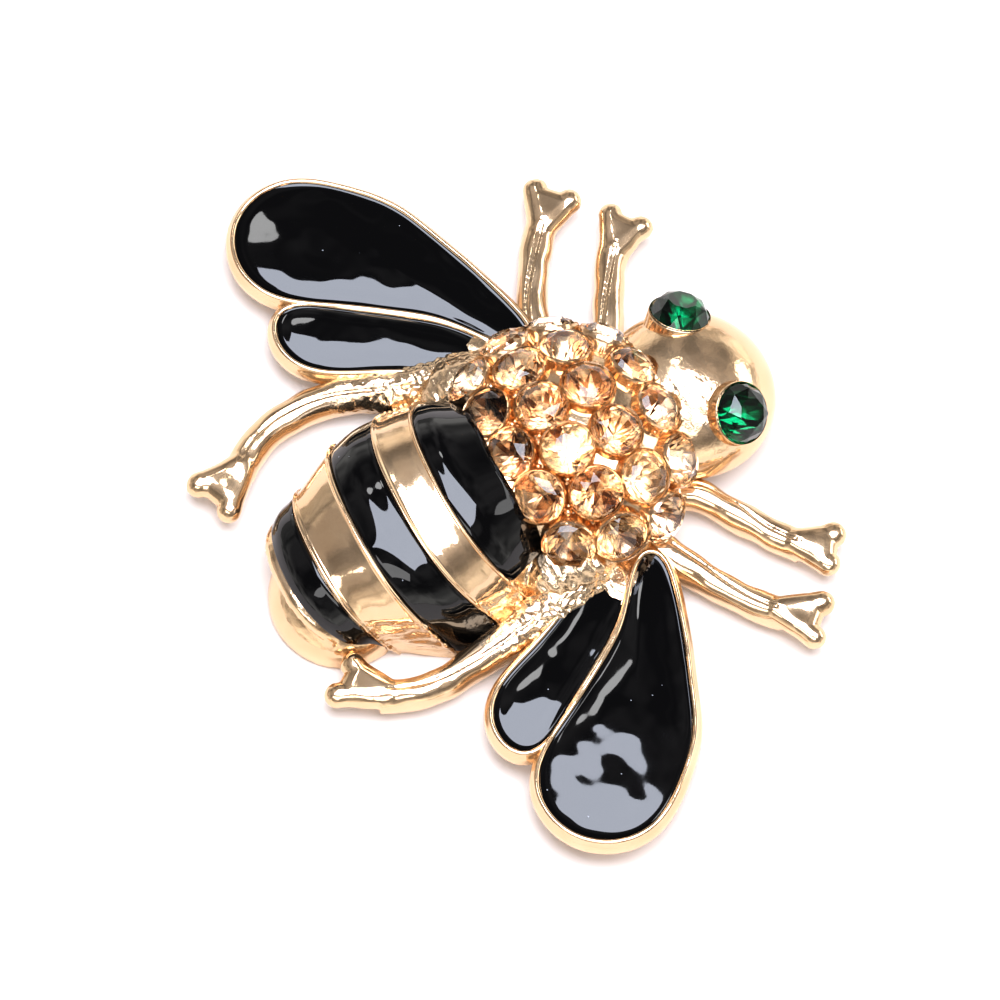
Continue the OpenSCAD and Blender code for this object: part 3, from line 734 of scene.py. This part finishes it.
casting = fused(bodySolids(), bodyCuts(), body["voxel"], body["smoothing"])
hammer(casting, hammered["zones"], hammered["width"])
for v in casting.verts:
    v.co.z = max(v.co.z, 0)
goldPiece("body_casting", casting, [plateGold, hammeredGold], 70)
for end, word in ((1, "front"), (-1, "rear")):
    size = Vector((bosses["radius"], bosses["radius"], bosses["dome"]))
    boss = domeSolid(postPlace(end) + Vector((0, 0, bosses["top"])), size, bosses["from"], 4, 32)
    goldPiece("pin_boss_" + word, boss, [plateGold], 45)
print("body cast")


# Bands over the abdomen: polished gold between two thin ridges, and black enamel

bands = {"ridgeHigh": 0.13, "ridgeWide": 0.11, "sink": 0.03, "thick": 0.45, "roughBelow": 3.6,
         "roughBlend": 0.5, "hammeredBelow": 3.3, "roughDepth": 0.12, "roughWidth": 0.55,
         "waveWidth": 1.3, "wave": 0.012, "gap": 0.02, "steps": 220}
enamelBands = {"crown": 0.07, "droop": 0.04, "wave": 0.03, "waveWidth": 2.2, "gap": 0.03, "steps": 150,
               "across": 20}


def bandSolid(fromI, toI, gap, profile, angles):
    # A curved strip over the abdomen: its outside follows a relief profile from edge to edge
    share = smoothRow(sections, toI)[0] - smoothRow(sections, fromI)[0]
    step = gap * (toI - fromI) / (abdomen["length"] * share)
    low, high = fromI + step, toI - step
    outside = [(mix(low, high, s), lift) for s, lift in profile]
    inside = [(mix(high, low, k / 4), -bands["thick"]) for k in range(5)]
    bm = lofted([[abdomenPoint(i, angle, lift) for i, lift in outside + inside] for angle in angles])
    bm.normal_update()
    return bm


def ridgedProfile():
    wide = bands["ridgeWide"]
    half = [(0, -0.02)]
    for turn in (step / 8 for step in range(1, 8)):      # one ridge, rising and falling
        half.append((wide * turn, bands["ridgeHigh"] * math.sin(math.pi * min(turn * 1.1, 1)) ** 0.7))
    for s in (0, 0.08, 0.25, 0.5, 0.75, 1):
        half.append((mix(wide, 0.5, s), -bands["sink"] * ease(0, 0.3, s)))
    return half + [(1 - s, lift) for s, lift in reversed(half[:-1])]


def goldBand(word, fromI):
    angles = [180 * k / bands["steps"] for k in range(bands["steps"] + 1)]
    bm = bandSolid(fromI, fromI + 1, bands["gap"], ridgedProfile(), angles)
    low = bands["roughBelow"]
    for v in bm.verts:
        p = v.co / mm
        rough = (1 - ease(low - bands["roughBlend"], low, p.z)) * ease(0, bands["roughBlend"], p.z)
        lift = bands["roughDepth"] * rough * layered(p / bands["roughWidth"], 0.6, 2.3)
        v.co += v.normal * mm * (lift + bands["wave"] * noise.noise(p / bands["waveWidth"]))
    for face in bm.faces:
        face.material_index = 1 if face.calc_center_median().z < mm * bands["hammeredBelow"] else 0
    goldPiece("gold_band_" + word, bm, [brightGold, hammeredGold], 50)


def enamelBand(word, fromI, toI, stop):
    # The stop is the angle from the table where the band ends
    profile = []
    for s in (step / enamelBands["across"] for step in range(enamelBands["across"] + 1)):
        edge = min(s, 1 - s)
        lift = enamelBands["crown"] * ease(0, 0.5, edge) - enamelBands["droop"] * ease(0.05, 0, edge)
        profile.append((s, lift))
    steps = enamelBands["steps"]
    angles = [mix(stop, 180 - stop, k / steps) for k in range(steps + 1)]
    bm = bandSolid(fromI, toI, enamelBands["gap"], profile, angles)
    for v in bm.verts:                         # the surface sagged a little while it cured
        v.co += v.normal * mm * enamelBands["wave"] * noise.noise(v.co / mm / enamelBands["waveWidth"])
    finishPiece("enamel_band_" + word, bm, [blackEnamel], ["abdomen_enamel_" + word], 50)


goldBand("front", goldOne)
goldBand("rear", goldTwo)
enamelBand("front", enamelOne, goldOne, 25)
enamelBand("middle", enamelTwo, goldTwo, 4)
enamelBand("rear", enamelThree, enamelThree + 1, 4)
print("bands laid")


# Legs: sections along a walk of headings, with a forked foot, fused and tooled

legs = {
    "front_right": {"side": 1, "root": (4.1, 3.6), "length": 7.9, "swell": 0.1, "fork": 53, "spread": 31,
                    "prong": 1.7, "rough": 0, "headings": (59, 33, 30, 32, 37)},
    "middle_right": {"side": 1, "root": (5.6, 1.1), "length": 8.9, "swell": 0.2, "fork": 49, "spread": 30,
                     "prong": 1.95, "rough": 0, "headings": (29, 23, 29, 34, 39)},
    "rear_right": {"side": 1, "root": (6.3, -2.2), "length": 13.4, "swell": 0.9, "fork": -143, "spread": 26,
                   "prong": 2.2, "rough": 1, "headings": (-67, -78, -83, -78, -81, -85, -98, -114)},
    "rear_left": {"side": -1, "root": (6.2, -1.7), "length": 15.0, "swell": 0.9, "fork": -110, "spread": 30,
                  "prong": 2.2, "rough": 1, "headings": (-65, -72, -69, -66, -73, -86, -97, -112, -127)},
}
for name in ("front", "middle"):
    legs[name + "_left"] = {**legs[name + "_right"], "side": -1}
legShape = {"width": 1.8, "top": 1.95, "tall": 1.7, "power": 2.05, "waist": 0.1, "swellTall": 1.3,
            "voxel": 0.08, "smoothing": 10}
footShape = {"prongTip": 1.4, "ankle": 1.6, "heel": 0.5, "tall": 1.3, "lift": 0.05, "web": 0.75}
legTools = {"dent": 0.1, "dentWidth": 1.3, "groove": 0.09, "grooveHalf": 0.16, "aside": 0.12, "sway": 0.22,
            "rough": 0.13, "roughWidth": 0.42, "roughUpTo": 0.42, "roughBlend": 0.15}


def legPath(leg):
    # Places and ways along the leg, the place of its fork last
    step = leg["length"] / len(leg["headings"])
    path = [Vector((leg["root"][0], leg["root"][1] + thorax["y"], 0))]
    for degrees in leg["headings"]:
        path.append(path[-1] + step * heading(degrees))
    rows = [tuple(p) for p in path]
    fine = 5 * len(leg["headings"])
    places = [smoothRow(rows, k / 5) for k in range(fine + 1)]
    ways = [(places[min(k + 1, fine)] - places[max(k - 1, 0)]).normalized() for k in range(fine + 1)]
    return places, ways


def legRing(leg, place, way, t):
    # A rounded section, wider and taller towards the root
    swell = leg["swell"] * (1 - t) ** 2
    half = legShape["width"] / 2 * (1 + swell) * (1 - legShape["waist"] * math.sin(math.pi * t))
    top, low = legShape["top"] + legShape["swellTall"] * swell, legShape["top"] - legShape["tall"]
    aside = Vector((-way.y, way.x, 0))
    ring = []
    for a in (2 * math.pi * n / 32 for n in range(32)):
        c, z = (math.copysign(abs(f(a)) ** (2 / legShape["power"]), f(a)) for f in (math.cos, math.sin))
        ring.append(place + aside * half * c + Vector((0, 0, mix(low, top, (z + 1) / 2))))
    return ring


def footSolids(leg, ankle, way):
    # A heel webbed to the roots of two prongs, and the prongs
    tip, tall = footShape["prongTip"] / 2, footShape["tall"]
    tips = [ankle + leg["prong"] * heading(leg["fork"] + s * leg["spread"]) for s in (-1, 1)]
    roots = [ankle.lerp(end, footShape["web"]) for end in tips]
    heel = ankle - footShape["heel"] * way
    squash = (Matrix.Translation((0, 0, (legShape["top"] - tall / 2 + footShape["lift"]) * mm))
              @ Matrix.Diagonal((1, 1, tall / 2 / tip, 1)))
    hulls = [[(heel, footShape["ankle"] / 2), (roots[0], tip), (roots[1], tip)]]
    hulls += [[(root, tip), (end, tip)] for root, end in zip(roots, tips)]
    return [placed(hullOf(balls), squash) for balls in hulls]


def legSolids(leg, places, ways):
    last = len(places) - 1
    shaft = lofted([legRing(leg, place, way, k / last) for k, (place, way) in enumerate(zip(places, ways))])
    parts = [shaft, *footSolids(leg, places[-1], ways[-1])]
    for part in parts:
        if leg["side"] < 0:
            placed(part, Matrix.Diagonal((-1, 1, 1, 1)))
        bmesh.ops.recalc_face_normals(part, faces=part.faces)
    return parts


def toolLeg(leg, bm, places, ways):
    # Dents, a line carved along the top and, towards the root of a rear leg, crumpled metal
    bm.normal_update()
    flat = Matrix.Diagonal((leg["side"], 1, 0))
    places, ways = [flat @ p for p in places], [flat @ w for w in ways]
    half, edge, blend = legTools["grooveHalf"], legTools["roughUpTo"], legTools["roughBlend"]
    crumpled = set()
    for v in bm.verts:
        p = v.co / mm
        plan = Vector((p.x, p.y, 0))
        nearest = min(range(len(places)), key=lambda k: (places[k] - plan).length)
        t, way = nearest / (len(places) - 1), ways[nearest]
        aside = (plan - places[nearest]).dot(Vector((-way.y, way.x, 0)))
        off = abs(aside - legTools["sway"] * math.sin(5 * t) - legTools["aside"])
        lift = legTools["dent"] * noise.noise(p / legTools["dentWidth"])
        lift -= legTools["groove"] * max(v.normal.z, 0) * ease(half, half / 4, off) * ease(1.0, 0.9, t)
        rough = leg["rough"] * ease(edge + blend, edge - blend, t)
        if rough:
            crumpled.add(v)
            lift += legTools["rough"] * rough * layered(p / legTools["roughWidth"], 0.6, 2.2)
        v.co += v.normal * mm * lift
        v.co.z = max(v.co.z, 0)
    markRough(bm, crumpled)


for name, leg in legs.items():
    places, ways = legPath(leg)
    bm = fused(legSolids(leg, places, ways), [], legShape["voxel"], legShape["smoothing"])
    toolLeg(leg, bm, places, ways)
    goldPiece("leg_" + name, bm, [brightGold, hammeredGold], 80)
print("legs made")


# The stones go in last, each in its cup, with grains of metal raised between them

grainShape = {"reach": 4.4, "share": 0.8, "most": 0.42, "least": 0.1, "rise": 0.16}
turnEach = 2.399                               # radians, so that no two stones lie the same way


def grainBetween(corners):
    # A grain on the dome where three stones leave room for one
    middle = sum(corners, Vector((0, 0, 0))) / 3 - thoraxCentre
    way = Vector(m / h for m, h in zip(middle, thoraxHalf)).normalized()
    seat = thoraxCentre + Vector(w * h for w, h in zip(way, thoraxHalf))
    room = min((seat - q).length for q in corners) - stoneShape["size"] / 2
    size = min(room * grainShape["share"], grainShape["most"])
    if size <= grainShape["least"]:
        return []
    return [hullOf([(seat, size), (seat + grainShape["rise"] * way, size * 0.8)])]


seats = [stoneSeat(lat, lon) for lat, lon in stonePlaces()]
for k, seat in enumerate(seats):
    stone = placed(cutStone(stoneShape["size"], stoneShape["crown"], k), facing(*seat, turnEach * k))
    number = str(k + 1)
    finishPiece("champagne_stone_" + number, stone, champagne,
                ["thorax_stone_" + number], None)
# the cups take the darker setting plate, painted shade between the stones
cups = [placed(stoneCup(stoneShape, 40), facing(*seat, 0)) for seat in seats]
goldPiece("stone_cups", joined(cups), [shadedSettingGold], 60)

spots, grains = [point for point, way in seats], []
for i, a in enumerate(spots):
    for j in range(i + 1, len(spots)):
        for c in spots[j + 1:]:
            b = spots[j]
            if max((a - b).length, (b - c).length, (a - c).length) < grainShape["reach"]:
                grains += grainBetween([a, b, c])
# the grains take the darker setting plate too, painted shade between the stones
goldPiece("setting_grains", joined(grains), [shadedSettingGold], 80)

for word, eye in eyes.items():
    seat = eyeSeat(eye)
    stone = cutStone(eyeShape["size"], eyeShape["crown"], eye["seed"])
    finishPiece("emerald_" + word, placed(stone, facing(*seat, eye["spin"])),
                emerald, ["eye_" + word], None)
    goldPiece("eye_cup_" + word, placed(stoneCup(eyeShape, 48), facing(*seat, 0)), [brightGold], 60)
print("stones set")

finishPiece("pin_wire", pinSolid(), [plateGold], ["pin"], 50)
print("pin made")


# Floor, light and camera

# Matt white paper sweep, evenly lit so that shadows all but vanish
floorLook = {"paper": "#D8CEC7", "shade": "#D4C9C1", "shadeWidth": 40, "roughness": 0.6, "glow": 0.1,
             "halfWidth": 1.2, "z": -0.02}
# Panels and one lamp above the table, in metres
softboxes = {
    "key_softbox": {"at": (0.04, 0.046, 0.6), "size": (0.624, 0.42), "heading": 38, "radiance": 9.0,
                    "color": "#EAF0FF", "shape": "RECTANGLE"},
    "near_strip": {"at": (0.33, -0.372, 0.6), "size": (0.66, 0.2), "heading": 38, "radiance": 3.0,
                   "color": "#FFFFFF", "shape": "RECTANGLE"},
    "front_panel": {"at": (0.08, 0.68, 0.3), "size": (0.5, 0.22), "heading": 0, "radiance": 2.5,
                    "color": "#FFFFFF", "shape": "RECTANGLE"},
    "round_lamp": {"at": (-0.385, 0.091, 0.58), "size": (0.07, 0.07), "heading": 0, "radiance": 5.0,
                   "color": "#FFFFFF", "shape": "DISK"},
}
# A pale room: bright round the table's level, dimmer above, with vague darker patches
room = {"level": 0.14, "bright": (1.2, 1.17, 1.12, 1), "above": 0.5, "dim": (0.28, 0.27, 0.27, 1),
        "patches": 3.0, "darkest": 0.35, "brightest": 1.2}
# Where the photo was taken from: degrees, millimetres from the origin, and the lens
view = {"azimuth": 60.0122, "elevation": 62.9425, "roll": 1.5561, "distance": 450.186,
        "right": -0.6842, "up": -0.0834, "lens": 308.42, "sensor": 36.0}


def floorFinish(name, look):
    made, tree, shader, place = newMaterial(name, {
        "Roughness": look["roughness"], "Emission Color": (1, 1, 1, 1), "Emission Strength": look["glow"]})
    clouds = addNode(tree, "ShaderNodeTexNoise", spaced(look["shadeWidth"], 2), {"Vector": place})
    tone = addNode(tree, "ShaderNodeMix", twoTone(look["paper"], look["shade"]), {0: clouds.outputs["Fac"]})
    tree.links.new(tone.outputs[2], shader.inputs["Base Color"])
    return made


def addSoftbox(name, box):
    # A panel facing the middle of the table, its long side turned to a heading in plan
    data = bpy.data.lights.new(name, "AREA")
    data.shape = box["shape"]
    data.size, data.size_y = box["size"]
    data.energy = box["radiance"] * math.pi * data.size * data.size_y
    data.color = linearColor(box["color"])[:3]
    made = bpy.data.objects.new(name, data)
    back = Vector(box["at"]).normalized()
    along = heading(box["heading"])
    along = (along - back * along.dot(back)).normalized()
    turn = Matrix((along, back.cross(along), back)).transposed().to_4x4()
    made.matrix_world = Matrix.Translation(Vector(box["at"])) @ turn
    made.visible_camera = False
    bpy.context.scene.collection.objects.link(made)


def addWorld():
    world = bpy.data.worlds.new("studio")
    world.use_nodes = True
    bpy.context.scene.world = world
    tree = world.node_tree
    way = addNode(tree, "ShaderNodeTexCoord").outputs["Generated"]
    height = addNode(tree, "ShaderNodeSeparateXYZ", {}, {"Vector": way})
    ramp = addNode(tree, "ShaderNodeValToRGB", {}, {"Fac": height.outputs["Z"]})
    low, high = ramp.color_ramp.elements
    low.position, low.color = room["level"], room["bright"]
    high.position, high.color = room["above"], room["dim"]
    patches = addNode(tree, "ShaderNodeTexNoise", {"Scale": room["patches"], "Detail": 2.0}, {"Vector": way})
    strength = addNode(tree, "ShaderNodeMapRange", {
        "From Min": 0.4, "From Max": 0.62, "To Min": room["darkest"], "To Max": room["brightest"]},
        {"Value": patches.outputs["Fac"]})
    background = tree.nodes["Background"]
    tree.links.new(ramp.outputs["Color"], background.inputs["Color"])
    tree.links.new(strength.outputs["Result"], background.inputs["Strength"])


def addCamera():
    data = bpy.data.cameras.new("photo_camera")
    data.lens, data.sensor_width = view["lens"], view["sensor"]
    data.clip_start, data.clip_end = 0.05, 10
    made = bpy.data.objects.new("photo_camera", data)
    az, el = math.radians(view["azimuth"]), math.radians(view["elevation"])
    back = Vector((math.sin(az) * math.cos(el), -math.cos(az) * math.cos(el), math.sin(el)))
    right = Vector((0, 0, 1)).cross(back).normalized()
    up = back.cross(right)
    roll = math.radians(view["roll"])
    right, up = right * math.cos(roll) + up * math.sin(roll), up * math.cos(roll) - right * math.sin(roll)
    place = back * view["distance"] + right * view["right"] + up * view["up"]
    turn = Matrix((right, up, back)).transposed().to_4x4()
    made.matrix_world = Matrix.Translation(place * mm) @ turn
    bpy.context.scene.collection.objects.link(made)
    bpy.context.scene.camera = made


bm = bmesh.new()
bmesh.ops.create_grid(bm, x_segments=2, y_segments=2, size=floorLook["halfWidth"],
                      matrix=Matrix.Translation((0, 0, floorLook["z"] * mm)))
floor = objectOf("floor", bm)
floor.data.materials.append(floorFinish("matt_white_paper", floorLook))
for name, box in softboxes.items():
    addSoftbox(name, box)
addWorld()
addCamera()
bpy.context.scene.view_settings.view_transform = "Standard"
bpy.context.scene.view_settings.look = "Medium High Contrast"
print("studio set")
